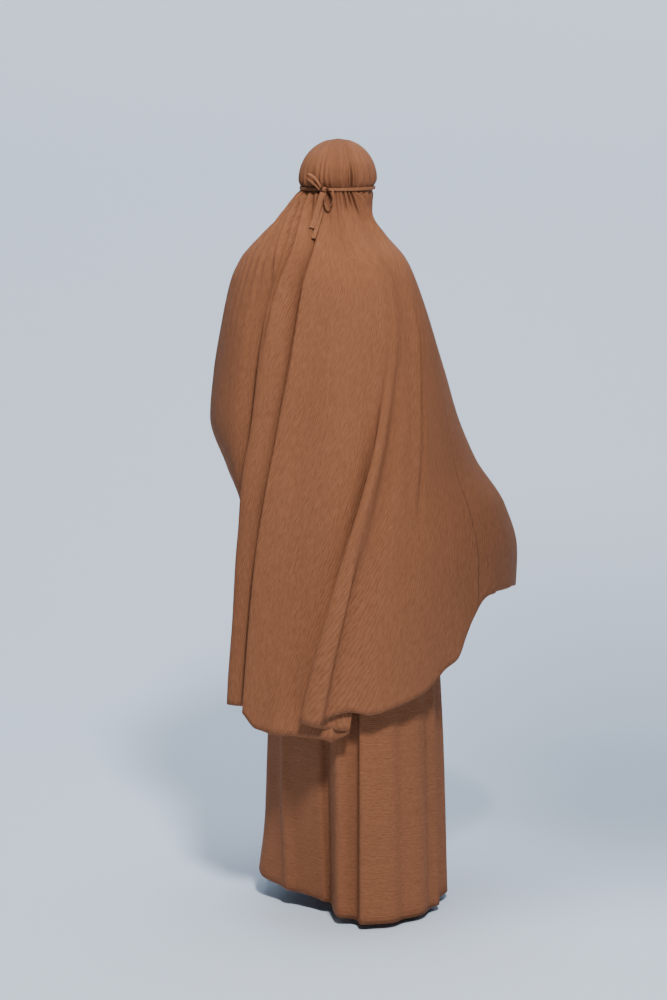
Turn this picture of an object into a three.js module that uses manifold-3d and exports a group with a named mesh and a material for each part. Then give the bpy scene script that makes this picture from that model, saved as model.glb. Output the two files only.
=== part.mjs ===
// A worn two-piece prayer gown, hollow, in the pose its wearer gave it: a long head veil, tied behind the head with
// a bow and lifted by both forearms, over a floor-length skirt.
// Millimetres, +Z up. The front of the gown faces -Y. The origin is the inside of the crown, where the head holds it.
// Depths are measured downwards from the crown. Angles run round the upright axis, in degrees: 0 at the wearer's
// back, 90 at the wearer's right, 180 at the front and 270 (or -90) at the left.
import * as THREE from "three";
import { mergeVertices } from "three/addons/utils/BufferGeometryUtils.js";
import Module from "manifold-3d";

const wasm = await Module();
wasm.setup();

// Cloth and seams
const CLOTH = 1.6; // the wall that stands for the cloth
const SEAM_GAP = 0.45; // between pieces that are sewn together

// The wearer's general figure
const HEAD_SIDE = 78; // half the width of the covered head
const HEAD_LONG = 98; // half its length, from forehead to nape
const HEAD_TALL = 83; // from the crown to the widest level
const SKIRT_CENTRE = { x: -30, y: -25 }; // the hips stand a little to the right and forward of the head
const WAIST = 622; // depth of the skirt's top edge
const WAISTBAND = 36; // height of the waistband
const BAND_OUT = 1; // how far it stands out from the skirt's own form
const BAND_THICK = 3;
const BAND_GAP = 1.1; // between it and the skirt's top edge

// The tie
const TIE_DEPTH = 103; // depth of the tie's middle
const TIE_TALL = 7.5;
const RIBBON = 1.5; // thickness of the folded ribbon
const RIBBON_WIDE = 12;
const KNOT_ANGLE = 10;
const TIE_PINCH = 5; // how far the tie presses the hood in
const PINCH_REACH = 11;

// The face opening, an upright oval
const FACE = { depth: 138, halfWide: 62, halfTall: 84, front: -260, back: -48 };
const FACE_SIDES = 48;

// The veil's unfolded form: its radius in twelve directions at each depth
const VEIL_SECTIONS = [
  { down: 103, radii: [96, 91, 82, 78, 80, 90, 96, 90, 80, 78, 82, 91] },
  { down: 112, radii: [97, 91, 81, 75, 75, 88, 97, 88, 78, 77, 82, 92] },
  { down: 135, radii: [101, 95, 84, 73, 72, 86, 98, 88, 80, 86, 98, 101] },
  { down: 160, radii: [112, 104, 92, 81, 72, 84, 102, 84, 83, 110, 121, 118] },
  { down: 200, radii: [130, 120, 112, 107, 98, 93, 104, 96, 114, 150, 160, 144] },
  { down: 250, radii: [147, 139, 144, 154, 137, 126, 122, 134, 172, 209, 200, 170] },
  { down: 300, radii: [156, 151, 161, 179, 158, 146, 140, 156, 200, 238, 222, 185] },
  { down: 400, radii: [163, 162, 180, 207, 198, 188, 172, 196, 234, 262, 245, 205] },
  { down: 500, radii: [168, 171, 189, 222, 232, 236, 215, 236, 262, 284, 259, 211] },
  { down: 600, radii: [173, 180, 199, 236, 260, 280, 262, 272, 280, 293, 268, 216] },
  { down: 700, radii: [179, 189, 209, 248, 296, 332, 300, 300, 278, 256, 240, 222] },
  { down: 800, radii: [185, 197, 221, 270, 358, 392, 324, 305, 252, 212, 205, 222] },
  { down: 900, radii: [191, 205, 232, 284, 382, 408, 334, 300, 238, 204, 197, 229] },
  { down: 1000, radii: [197, 213, 240, 286, 378, 408, 328, 295, 232, 204, 200, 236] },
  { down: 1150, radii: [206, 224, 244, 272, 330, 380, 320, 290, 228, 206, 210, 246] },
  { down: 1300, radii: [214, 232, 246, 262, 305, 355, 315, 285, 226, 210, 218, 255] },
];

// How the cloth's own lines wander: each stays at its angle at the hem and leans to other angles higher up
const GUIDE_DEPTHS = [108, 200, 300, 600, 900, 1300];
const GUIDES = [
  { hem: -180, angles: [-180, -180, -180, -180, -180, -180] },
  { hem: -140, angles: [-165, -163, -140, -140, -140, -140] },
  { hem: -100, angles: [-150, -148, -100, -100, -100, -100] },
  { hem: -70, angles: [-85, -80, -66, -66, -70, -70] },
  { hem: -39, angles: [-24, -20, -22, -28, -38, -39] },
  { hem: -26, angles: [4, 6, 0, -13, -23, -26] },
  { hem: 16, angles: [36, 46, 64, 52, 34, 16] },
  { hem: 50, angles: [58, 80, 78, 71, 60, 50] },
  { hem: 60, angles: [74, 90, 84, 77, 69, 60] },
  { hem: 100, angles: [150, 148, 104, 100, 100, 100] },
  { hem: 140, angles: [165, 163, 140, 140, 140, 140] },
  { hem: 180, angles: [180, 180, 180, 180, 180, 180] },
];

// Folds of the veil. A ridge stands out (or, if out is negative, sinks in) and leans sideways by over. A pleat's
// right side laps over its left side by over, or its left over its right where out is negative. Widths are degrees
// of hem, out and over millimetres, and size the depths at which the fold starts, is full, fades and is gone.
const VEIL_FOLDS = [
  { name: "left drape edge", kind: "pleat", at: -39, wide: 3.2, out: 12, over: 15, size: [200, 360, 1500, 1600] },
  { name: "left drape valley", kind: "ridge", at: -44, wide: 3.2, out: -14, over: 0, size: [230, 420, 820, 1050] },
  { name: "left column", kind: "ridge", at: -33.5, wide: 3, out: 7, over: 0, size: [260, 460, 1500, 1600] },
  { name: "back panel edge", kind: "pleat", at: -26, wide: 3, out: 12, over: 15, size: [130, 320, 1500, 1600] },
  { name: "back panel valley", kind: "ridge", at: -29.5, wide: 2.2, out: -12, over: 0, size: [180, 380, 1500, 1600] },
  { name: "left long gather", kind: "ridge", at: -33, wide: 2.2, out: 5, over: 0, size: [120, 200, 320, 620] },
  { name: "nape fold", kind: "ridge", at: -20, wide: 2.2, out: 4, over: -2, size: [108, 150, 220, 420] },
  { name: "neck drape edge", kind: "pleat", at: 50, wide: 3.4, out: -6, over: 9, size: [104, 124, 190, 300] },
  { name: "back panel belly", kind: "ridge", at: -10, wide: 8, out: 5, over: 0, size: [500, 1100, 1500, 1600] },
  { name: "main panel hollow", kind: "ridge", at: 7, wide: 4.5, out: -9, over: 0, size: [420, 760, 1080, 1240] },
  { name: "inner step", kind: "pleat", at: 3, wide: 1.8, out: -4, over: 8, size: [1020, 1250, 1500, 1600] },
  { name: "great pleat", kind: "pleat", at: 16, wide: 9, out: 11, over: 86, size: [320, 1260, 1500, 1600] },
  { name: "pleat roll", kind: "ridge", at: 28.5, wide: 3.2, out: 9, over: 0, size: [340, 800, 1500, 1600] },
  { name: "pleat valley", kind: "ridge", at: 34, wide: 3.4, out: -13, over: 0, size: [360, 800, 1500, 1600] },
  { name: "right panel swell", kind: "ridge", at: 45, wide: 6, out: 5, over: 0, size: [380, 620, 1000, 1260] },
  { name: "shoulder fold", kind: "ridge", at: 58, wide: 2.8, out: 8, over: 8, size: [300, 440, 640, 820] },
  { name: "shoulder valley", kind: "ridge", at: 62.5, wide: 2.6, out: -5, over: 0, size: [320, 460, 700, 900] },
  { name: "second shoulder fold", kind: "ridge", at: 66, wide: 3.2, out: 3.5, over: 3, size: [480, 620, 720, 900] },
  { name: "right hem flute", kind: "ridge", at: 91, wide: 2.6, out: 6, over: 2, size: [980, 1080, 1500, 1600] },
  { name: "hand crease", kind: "pleat", at: 109, wide: 3, out: -8, over: 12, size: [880, 940, 1500, 1600] },
  { name: "hand drop", kind: "ridge", at: 134, wide: 5, out: 12, over: 0, size: [760, 930, 1500, 1600] },
  { name: "front valley right", kind: "ridge", at: 148, wide: 6, out: -18, over: 0, size: [420, 860, 1500, 1600] },
  { name: "front ridge right", kind: "ridge", at: 163, wide: 6, out: 13, over: 3, size: [360, 820, 1500, 1600] },
  { name: "front valley middle", kind: "ridge", at: 178, wide: 6, out: -15, over: 0, size: [300, 800, 1500, 1600] },
  { name: "front ridge left", kind: "ridge", at: -167, wide: 6, out: 14, over: -3, size: [380, 820, 1500, 1600] },
  { name: "front valley left", kind: "ridge", at: -151, wide: 6, out: -17, over: 0, size: [440, 860, 1500, 1600] },
  { name: "left hand drop", kind: "ridge", at: -134, wide: 6, out: 15, over: 0, size: [640, 880, 1500, 1600] },
  { name: "left side valley", kind: "ridge", at: -116, wide: 6, out: -16, over: 0, size: [560, 860, 1500, 1600] },
  { name: "left side ridge", kind: "ridge", at: -98, wide: 6, out: 12, over: 0, size: [620, 900, 1500, 1600] },
  { name: "under-arm valley", kind: "ridge", at: -80, wide: 6, out: -13, over: 0, size: [640, 900, 1500, 1600] },
  { name: "under-arm ridge", kind: "ridge", at: -60, wide: 4.5, out: 5, over: 0, size: [760, 950, 1500, 1600] },
];

// The veil's lower edge, round the hem
const VEIL_HEM = [
  { at: -180, down: 952 },
  { at: -150, down: 958 },
  { at: -120, down: 1000 },
  { at: -90, down: 1075 },
  { at: -60, down: 1150 },
  { at: -43, down: 1194 },
  { at: -36, down: 1204 },
  { at: -28, down: 1203 },
  { at: -23, down: 1212 },
  { at: -19, down: 1242 },
  { at: -8, down: 1251 },
  { at: 0, down: 1252 },
  { at: 3, down: 1258 },
  { at: 8, down: 1238 },
  { at: 16, down: 1228 },
  { at: 24, down: 1206 },
  { at: 29, down: 1212 },
  { at: 36, down: 1190 },
  { at: 42, down: 1196 },
  { at: 56, down: 1182 },
  { at: 74, down: 1155 },
  { at: 84, down: 1120 },
  { at: 90, down: 1102 },
  { at: 94, down: 1060 },
  { at: 98, down: 1014 },
  { at: 104, down: 972 },
  { at: 109, down: 970 },
  { at: 117, down: 972 },
  { at: 121, down: 973 },
  { at: 126, down: 979 },
  { at: 130, down: 984 },
  { at: 134, down: 975 },
  { at: 139, down: 954 },
  { at: 150, down: 946 },
  { at: 180, down: 952 },
];
const HEM_FROM = 300; // above this depth the rows are level
const VEIL_ROWS = [
  0, 10, 26, 48, 70, 87, 95, 98.7, 107.3, 111, 121, 138, 158, 184, 214, 250, 300, 380, 470, 570, 680, 790, 900, 1010,
  1110, 1210, 1300,
];
const VEIL_LOWEST = 1300;
const SPLIT_DEPTH = 138; // the row, inside the face opening, above which the back piece runs all round
const SEAM = 100; // the side seams' angle at the hem
const BACK_COLUMNS = [
  { at: -SEAM, step: 3.3 },
  { at: -74, step: 2 },
  { at: -26, step: 2.8 },
  { at: 50, step: 2.2 },
  { at: 72, step: 3.4 },
  { at: SEAM, step: 0 },
];
const FRONT_COLUMNS = [
  { at: SEAM, step: 4 },
  { at: 360 - SEAM, step: 0 },
];
const FOREHEAD_COLUMNS = [
  { at: SEAM + 4, step: 8 },
  { at: 360 - SEAM - 4, step: 0 },
];

// Gathers under and over the tie: count numbers them round the neck, out is their height in millimetres, and drop
// and rise say how far they reach below and above the tie.
const GATHERS = [
  { at: -100, count: -11, out: 0, drop: 90, rise: 12 },
  { at: -86, count: -9.4, out: 2, drop: 90, rise: 12 },
  { at: -70, count: -7, out: 3.5, drop: 120, rise: 12 },
  { at: -34, count: -1, out: 4.5, drop: 120, rise: 12 },
  { at: -20, count: 0.8, out: 3.5, drop: 60, rise: 12 },
  { at: 0, count: 3.2, out: 2.4, drop: 32, rise: 18 },
  { at: 20, count: 5.2, out: 2.6, drop: 34, rise: 30 },
  { at: 50, count: 8.4, out: 3, drop: 40, rise: 30 },
  { at: 66, count: 10.2, out: 2.2, drop: 55, rise: 26 },
  { at: 86, count: 12.6, out: 2, drop: 60, rise: 20 },
  { at: 100, count: 14, out: 0, drop: 60, rise: 12 },
];
const GATHER_EASE = 14; // there are none right under the tie itself

// The skirt, round its own centre
const SKIRT_SECTIONS = [
  { down: 622, radii: [100, 104, 114, 122, 114, 104, 100, 104, 114, 122, 114, 104] },
  { down: 800, radii: [146, 155, 166, 172, 162, 150, 145, 152, 164, 171, 163, 154] },
  { down: 1000, radii: [154, 170, 178, 179, 172, 166, 164, 168, 174, 181, 172, 160] },
  { down: 1270, radii: [160, 192, 196, 189, 184, 184, 180, 182, 186, 197, 184, 166] },
  { down: 1670, radii: [138, 210, 212, 201, 198, 205, 205, 200, 208, 230, 196, 146] },
];
const SKIRT_FOLDS = [
  { name: "left ridge", kind: "ridge", at: -38, wide: 3.5, out: 9, over: 0, size: [900, 1500, 2500, 2600] },
  { name: "left kick", kind: "ridge", at: -70, wide: 10, out: 12, over: 0, size: [1480, 1670, 2500, 2600] },
  { name: "dark crease", kind: "ridge", at: 3, wide: 3, out: -13, over: 0, size: [760, 1400, 2500, 2600] },
  { name: "narrow ridge", kind: "ridge", at: 16, wide: 3.5, out: 11, over: -4, size: [760, 1300, 2500, 2600] },
  { name: "narrow valley", kind: "ridge", at: 23, wide: 3, out: -7, over: 0, size: [760, 1300, 2500, 2600] },
  { name: "wide pleat edge", kind: "pleat", at: 29, wide: 3.2, out: 7, over: 12, size: [760, 1300, 2500, 2600] },
  { name: "wide pleat end", kind: "pleat", at: 53, wide: 3.6, out: -8, over: 10, size: [760, 1300, 2500, 2600] },
  { name: "right ridge", kind: "ridge", at: 72, wide: 5, out: 7, over: 0, size: [800, 1400, 2500, 2600] },
  { name: "right valley", kind: "ridge", at: 81, wide: 3.5, out: -7, over: 0, size: [800, 1400, 2500, 2600] },
  { name: "right line", kind: "ridge", at: 89, wide: 3.5, out: 8, over: 3, size: [800, 1400, 2500, 2600] },
  { name: "right line valley", kind: "ridge", at: 98, wide: 4, out: -7, over: 0, size: [800, 1400, 2500, 2600] },
];
// The hidden front and left of the skirt carry the same sort of folds, evenly uneven
const SKIRT_HIDDEN = { first: 114, last: 296, step: 13, wide: 5, out: 10, sway: 4 };
const SKIRT_HEM = [
  { at: -180, down: 1656 },
  { at: -120, down: 1640 },
  { at: -88, down: 1606 },
  { at: -70, down: 1614 },
  { at: -56, down: 1632 },
  { at: -38, down: 1640 },
  { at: -15, down: 1646 },
  { at: 2, down: 1653 },
  { at: 16, down: 1660 },
  { at: 26, down: 1670 },
  { at: 60, down: 1670 },
  { at: 100, down: 1664 },
  { at: 140, down: 1660 },
  { at: 180, down: 1656 },
];
const SKIRT_LOWEST = 1670;
const SKIRT_ROWS = [658, 690, 740, 820, 940, 1100, 1280, 1420, 1540, 1670];
const SKIRT_STEP = 4.5; // degrees between the skirt's columns
const WAIST_GATHERS = 40;
const WAIST_GATHER_OUT = 3;

// A smooth line through a table's points, which never overshoots them.
function curve(xs, ys, x) {
  const last = xs.length - 1;
  const rise = (k) => (ys[k + 1] - ys[k]) / (xs[k + 1] - xs[k]);
  const slope = (k) => {
    if (k === 0) return rise(0);
    if (k === last) return rise(last - 1);
    const [a, b] = [rise(k - 1), rise(k)];
    return a * b <= 0 ? 0 : (2 * a * b) / (a + b);
  };
  const at = THREE.MathUtils.clamp(x, xs[0], xs[last]);
  let k = 0;
  while (k < last - 1 && at > xs[k + 1]) k += 1;
  const step = xs[k + 1] - xs[k];
  const t = (at - xs[k]) / step;
  return (
    (1 + 2 * t) * (1 - t) ** 2 * ys[k] +
    t * (1 - t) ** 2 * step * slope(k) +
    t * t * (3 - 2 * t) * ys[k + 1] +
    t * t * (t - 1) * step * slope(k + 1)
  );
}

const ease = (from, to, x) => THREE.MathUtils.smoothstep(x, from, to);
const around = (angle) => ((((angle + 180) % 360) + 360) % 360) - 180;

// The radius that a table of sections gives at any angle and depth: a closed spline round each section.
function sectionRadius(sections, angle, down) {
  const turn = ((angle % 360) + 360) % 360;
  const k = Math.floor(turn / 30);
  const t = turn / 30 - k;
  const radii = sections.map((section) => {
    const [a, b, c, d] = [-1, 0, 1, 2].map((i) => section.radii[(k + i + 12) % 12]);
    return 0.5 * (2 * b + (c - a) * t + (2 * a - 5 * b + 4 * c - d) * t * t + (3 * b - a - 3 * c + d) * t ** 3);
  });
  return curve(sections.map((section) => section.down), radii, down);
}

// The hood's crown is an ellipsoid, and it runs into the sections at the tie.
function veilRadius(angle, down) {
  const below = sectionRadius(VEIL_SECTIONS, angle, down);
  if (down >= TIE_DEPTH) return below;
  const turn = THREE.MathUtils.degToRad(angle);
  const widest = 1 / Math.hypot(Math.cos(turn) / HEAD_LONG, Math.sin(turn) / HEAD_SIDE);
  const lift = 1 - Math.min(down / HEAD_TALL, 1);
  const crown = widest * Math.sqrt(Math.max(1 - lift * lift, 0));
  return THREE.MathUtils.lerp(crown, below, ease(HEAD_TALL, TIE_DEPTH, down));
}

// What a table of folds adds to a point of cloth: outwards and sideways, in millimetres.
function foldAt(folds, at, down) {
  let out = 0;
  let side = 0;
  for (const fold of folds) {
    const x = around(at - fold.at) / fold.wide;
    if (Math.abs(x) > 4) continue;
    const [starts, full, fades, gone] = fold.size;
    const size = ease(starts, full, down) * (1 - ease(fades, gone, down));
    if (fold.kind === "pleat") {
      const lap = x * Math.exp((1 - x * x) / 2) * size;
      out += fold.out * lap;
      side -= fold.over * lap;
    } else {
      const hump = Math.exp(-x * x / 2) * size;
      out += fold.out * hump;
      side += fold.over * hump;
    }
  }
  return { out, side };
}

// Small gathers that the tie makes, strongest just above and below it and none in front.
function gatherAt(at, down) {
  const ats = GATHERS.map((gather) => gather.at);
  const value = (name) => curve(ats, GATHERS.map((gather) => gather[name]), at);
  const gap = down - TIE_DEPTH;
  const fade = Math.exp(gap > 0 ? -gap / value("drop") : gap / value("rise"));
  const grow = 1 - Math.exp(-((gap / GATHER_EASE) ** 2));
  return value("out") * fade * grow * Math.cos(2 * Math.PI * value("count"));
}

const tiePinch = (down) => TIE_PINCH * Math.exp(-(((down - TIE_DEPTH) / PINCH_REACH) ** 2));

// Where the cloth line that reaches the hem at an angle lies at another depth.
function drift(at, down) {
  const angles = GUIDES.map((guide) => curve(GUIDE_DEPTHS, guide.angles, down));
  return curve(GUIDES.map((guide) => guide.hem), angles, around(at));
}

const hemDepth = (hem, at) => curve(hem.map((h) => h.at), hem.map((h) => h.down), around(at));

function polar(angle, radius, side, down, centre = { x: 0, y: 0 }) {
  const turn = THREE.MathUtils.degToRad(angle);
  return new THREE.Vector3(
    centre.x - Math.sin(turn) * radius - Math.cos(turn) * side,
    centre.y + Math.cos(turn) * radius - Math.sin(turn) * side,
    -down,
  );
}

// A point of the veil's outer face: at is its angle at the hem, and row its depth on the longest line.
function veilPoint(at, row) {
  const reach = (hemDepth(VEIL_HEM, at) - HEM_FROM) / (VEIL_LOWEST - HEM_FROM);
  const down = row <= HEM_FROM ? row : HEM_FROM + (row - HEM_FROM) * reach;
  const angle = drift(at, down);
  const fold = foldAt(VEIL_FOLDS, around(at), down);
  const radius = veilRadius(angle, down) + fold.out + gatherAt(around(at), down) - tiePinch(down);
  return polar(angle, Math.max(radius, 0), down < 1 ? 0 : fold.side, down);
}

const hiddenSkirtFolds = [];
for (let at = SKIRT_HIDDEN.first, n = 0; at <= SKIRT_HIDDEN.last; at += SKIRT_HIDDEN.step, n += 1) {
  hiddenSkirtFolds.push({
    kind: "ridge",
    at: around(at + SKIRT_HIDDEN.sway * Math.sin(2.4 * n)),
    wide: SKIRT_HIDDEN.wide,
    out: SKIRT_HIDDEN.out * (n % 2 ? -1 : 1) * (1 + 0.3 * Math.sin(1.7 * n)),
    over: 0,
    size: [760, 1400, 2500, 2600],
  });
}
const skirtFolds = [...SKIRT_FOLDS, ...hiddenSkirtFolds];

// A point of the skirt's outer face.
function skirtPoint(at, row) {
  const top = SKIRT_ROWS[0];
  const down = top + ((row - top) * (hemDepth(SKIRT_HEM, at) - top)) / (SKIRT_LOWEST - top);
  const fold = foldAt(skirtFolds, around(at), down);
  const gather = WAIST_GATHER_OUT * Math.cos((WAIST_GATHERS * at * Math.PI) / 180) * (1 - ease(top, top + 160, down));
  const radius = sectionRadius(SKIRT_SECTIONS, at, down) + fold.out + gather;
  return polar(at, radius, fold.side, down, SKIRT_CENTRE);
}

// A closed wall on a grid of cloth points. isCell says which cells of the grid are cloth. The first row may be one
// point, as at a crown.
function wall(pointAt, ats, rows, closed, isCell, thickness = CLOTH) {
  const NEAR = 0.4;
  const alongAt = (at, row) => pointAt(at, row + NEAR).sub(pointAt(at, Math.max(row - NEAR, 0.01))).normalize();
  const acrossAt = (at, row) => pointAt(at + NEAR, row).sub(pointAt(at - NEAR, row)).normalize();
  const positions = [];
  const columns = ats.length;
  const cells = closed ? columns : columns - 1;
  const cloth = (i, j) => {
    const k = closed ? (j + cells) % cells : j;
    return i >= 0 && i < rows.length - 1 && k >= 0 && k < cells && isCell(i, k);
  };
  const lowest = rows.length - 2;
  for (const row of rows) {
    ats.forEach((at, j) => {
      const outer = pointAt(at, row);
      const across = acrossAt(at, row);
      const normal = row === 0 ? new THREE.Vector3(0, 0, 1) : alongAt(at, row).cross(across);
      const drawBack = ((Number(cloth(lowest, j)) - Number(cloth(lowest, j - 1))) * SEAM_GAP) / 2;
      if (row > 0 && drawBack !== 0) outer.addScaledVector(across, drawBack / normal.length());
      const inner = outer.clone().addScaledVector(normal.normalize(), -thickness);
      positions.push(...outer.toArray(), ...inner.toArray());
    });
  }
  const vertex = (i, j) => 2 * (i * columns + (rows[i] === 0 ? 0 : j % columns));
  const index = [];
  const quad = (a, b, c, d) => {
    if (a !== b && b !== c && a !== c) index.push(a, b, c);
    if (a !== c && c !== d && a !== d) index.push(a, c, d);
  };
  for (let i = 0; i < rows.length - 1; i += 1) {
    for (let j = 0; j < cells; j += 1) {
      if (!cloth(i, j)) continue;
      const [a, b, c, d] = [vertex(i, j), vertex(i + 1, j), vertex(i + 1, j + 1), vertex(i, j + 1)];
      quad(a, b, c, d);
      quad(a + 1, d + 1, c + 1, b + 1);
      if (!cloth(i - 1, j) && rows[i] !== 0) quad(a, d, d + 1, a + 1);
      if (!cloth(i + 1, j)) quad(b, b + 1, c + 1, c);
      if (!cloth(i, j - 1)) quad(a, a + 1, b + 1, b);
      if (!cloth(i, j + 1)) quad(d, c, c + 1, d + 1);
    }
  }
  const geometry = new THREE.BufferGeometry();
  geometry.setAttribute("position", new THREE.Float32BufferAttribute(positions, 3));
  geometry.setIndex(index);
  return geometry;
}

function toSolid(geometry) {
  const bare = geometry.index ? geometry.toNonIndexed() : geometry.clone();
  const points = new THREE.BufferGeometry().setAttribute("position", bare.getAttribute("position"));
  const merged = mergeVertices(points, 1e-4);
  return new wasm.Manifold(
    new wasm.Mesh({
      numProp: 3,
      vertProperties: merged.attributes.position.array,
      triVerts: new Uint32Array(merged.index.array),
    }),
  );
}

function toGeometry(solid) {
  const mesh = solid.getMesh();
  const geometry = new THREE.BufferGeometry();
  geometry.setAttribute("position", new THREE.BufferAttribute(mesh.vertProperties, mesh.numProp));
  geometry.setIndex(new THREE.BufferAttribute(mesh.triVerts, 1));
  return geometry;
}

// Angles at the hem through a table of stops, each with its step, and more of them at the sharp pleats.
function columnsAlong(stops, folds) {
  const first = stops[0].at;
  const last = stops[stops.length - 1].at;
  const kept = [];
  for (const fold of folds.filter((f) => f.kind === "pleat")) {
    for (const share of [-1.7, -1, -0.5, 0, 0.5, 1, 1.7]) kept.push(fold.at + share * fold.wide);
  }
  const result = kept.filter((at) => at > first + 1 && at < last - 1);
  for (let k = 0; k < stops.length - 1; k += 1) {
    const span = stops[k + 1].at - stops[k].at;
    const count = Math.round(span / stops[k].step);
    for (let n = 0; n < count; n += 1) {
      const at = stops[k].at + (span * n) / count;
      if (at > first && result.every((other) => Math.abs(other - at) > stops[k].step * 0.45)) result.push(at);
    }
  }
  return [first, ...result.sort((a, b) => a - b), last];
}

// The face opening's cutter, a long oval prism from inside the hood out through the front.
function faceCutter() {
  const oval = new THREE.Shape();
  oval.absellipse(0, 0, FACE.halfWide, FACE.halfTall, 0, 2 * Math.PI);
  const prism = new THREE.ExtrudeGeometry(oval, {
    depth: FACE.back - FACE.front,
    bevelEnabled: false,
    curveSegments: FACE_SIDES,
  });
  prism.rotateX(Math.PI / 2);
  prism.translate(0, FACE.back, -FACE.depth);
  return toSolid(prism);
}

// A flat ribbon along a smooth path. across(t) is the direction of its width.
function ribbon(points, across, width, steps, thickness = RIBBON) {
  const path = new THREE.CatmullRomCurve3(points);
  const positions = [];
  for (let n = 0; n <= steps; n += 1) {
    const t = n / steps;
    const centre = path.getPointAt(t);
    const along = path.getTangentAt(t);
    const wide = across(t).clone();
    wide.addScaledVector(along, -wide.dot(along)).normalize();
    const thick = along.clone().cross(wide);
    for (const [u, v] of [[-1, -1], [1, -1], [1, 1], [-1, 1]]) {
      const corner = centre.clone().addScaledVector(wide, (u * width) / 2).addScaledVector(thick, (v * thickness) / 2);
      positions.push(...corner.toArray());
    }
  }
  const index = [];
  for (let n = 0; n < steps; n += 1) {
    for (let k = 0; k < 4; k += 1) {
      const [a, b] = [4 * n + k, 4 * n + ((k + 1) % 4)];
      index.push(a, b, b + 4, a, b + 4, a + 4);
    }
  }
  const end = 4 * steps;
  index.push(0, 2, 1, 0, 3, 2, end, end + 1, end + 2, end, end + 2, end + 3);
  const geometry = new THREE.BufferGeometry();
  geometry.setAttribute("position", new THREE.Float32BufferAttribute(positions, 3));
  geometry.setIndex(index);
  return geometry;
}

const cloth = new THREE.MeshStandardMaterial({ name: "crepe", color: 0x9a6547, roughness: 0.9, metalness: 0 });
const ribbonCloth = new THREE.MeshStandardMaterial({ name: "ribbon", color: 0xa06c4c, roughness: 0.85, metalness: 0 });
const elastic = new THREE.MeshStandardMaterial({ name: "waistband", color: 0x93603f, roughness: 0.9, metalness: 0 });

const gown = new THREE.Group();
function add(name, geometry, material) {
  const mesh = new THREE.Mesh(geometry, material);
  mesh.name = name;
  gown.add(mesh);
}

// The veil: a back piece with the whole hood, and a front piece from under the chin, sewn at the sides
const splitRow = VEIL_ROWS.indexOf(SPLIT_DEPTH);
const backAts = columnsAlong(BACK_COLUMNS, VEIL_FOLDS);
const foreheadAts = columnsAlong(FOREHEAD_COLUMNS, []);
const backCells = backAts.length - 1;
const veilBack = wall(
  veilPoint,
  [...backAts, ...foreheadAts],
  VEIL_ROWS,
  true,
  (i, j) => i < splitRow || j < backCells,
);
const frontAts = columnsAlong(FRONT_COLUMNS, VEIL_FOLDS);
const frontRows = VEIL_ROWS.slice(splitRow);
const veilFront = wall(veilPoint, frontAts, frontRows, false, () => true);
const cutter = faceCutter();
add("veil_back", toGeometry(toSolid(veilBack).subtract(cutter)), cloth);
add("veil_front", toGeometry(toSolid(veilFront).subtract(cutter)), cloth);

// The skirt: a back and a front panel, sewn at the sides, under a waistband
const panel = (from, to) => {
  const ats = columnsAlong([{ at: from, step: SKIRT_STEP }, { at: to, step: 0 }], SKIRT_FOLDS);
  return wall(skirtPoint, ats, SKIRT_ROWS, false, () => true);
};
add("skirt_back", panel(-92, 92), cloth);
add("skirt_front", panel(92, 268), cloth);

const bandPoint = (at, row) => polar(at, sectionRadius(SKIRT_SECTIONS, at, row) + BAND_OUT, 0, row, SKIRT_CENTRE);
const bandAts = [];
for (let at = 0; at < 360; at += 10) bandAts.push(at);
add(
  "waistband",
  wall(bandPoint, bandAts, [WAIST, WAIST + WAISTBAND - BAND_GAP], true, () => true, BAND_THICK),
  elastic,
);

// The tie: a strip from each side of the face round to the knot
const TIE_OUT = 3 - RIBBON / 2; // how far inside the unpinched hood its middle lies
function tieStrip(from, to) {
  const points = [];
  const steps = 18;
  for (let n = 0; n <= steps; n += 1) {
    const angle = THREE.MathUtils.lerp(from, to, n / steps);
    points.push(polar(angle, veilRadius(angle, TIE_DEPTH) - TIE_OUT, 0, TIE_DEPTH));
  }
  return ribbon(points, () => new THREE.Vector3(0, 0, 1), TIE_TALL, 2 * steps);
}
const KNOT_HALF = 3.5; // degrees of the head's ring
add("tie_right", tieStrip(136, KNOT_ANGLE + KNOT_HALF), ribbonCloth);
add("tie_left", tieStrip(-136, KNOT_ANGLE - KNOT_HALF), ribbonCloth);

// The bow, in the knot's own axes: t to the wearer's right, u up and n outwards
const knotOut = veilRadius(KNOT_ANGLE, TIE_DEPTH);
const knotTurn = THREE.MathUtils.degToRad(KNOT_ANGLE);
const toRight = new THREE.Vector3(-Math.cos(knotTurn), -Math.sin(knotTurn), 0);
const outwards = new THREE.Vector3(-Math.sin(knotTurn), Math.cos(knotTurn), 0);
const knotCentre = polar(KNOT_ANGLE, knotOut + 2, 0, TIE_DEPTH);
const bowPoint = ([t, u, n]) =>
  knotCentre.clone().addScaledVector(toRight, t).addScaledVector(outwards, n).add(new THREE.Vector3(0, 0, u));

const knot = new THREE.SphereGeometry(1, 14, 8);
knot.scale(6.3, 5.2, 6.4);
knot.rotateZ(knotTurn);
knot.translate(...knotCentre.toArray());
add("bow_knot", knot, ribbonCloth);

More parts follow.
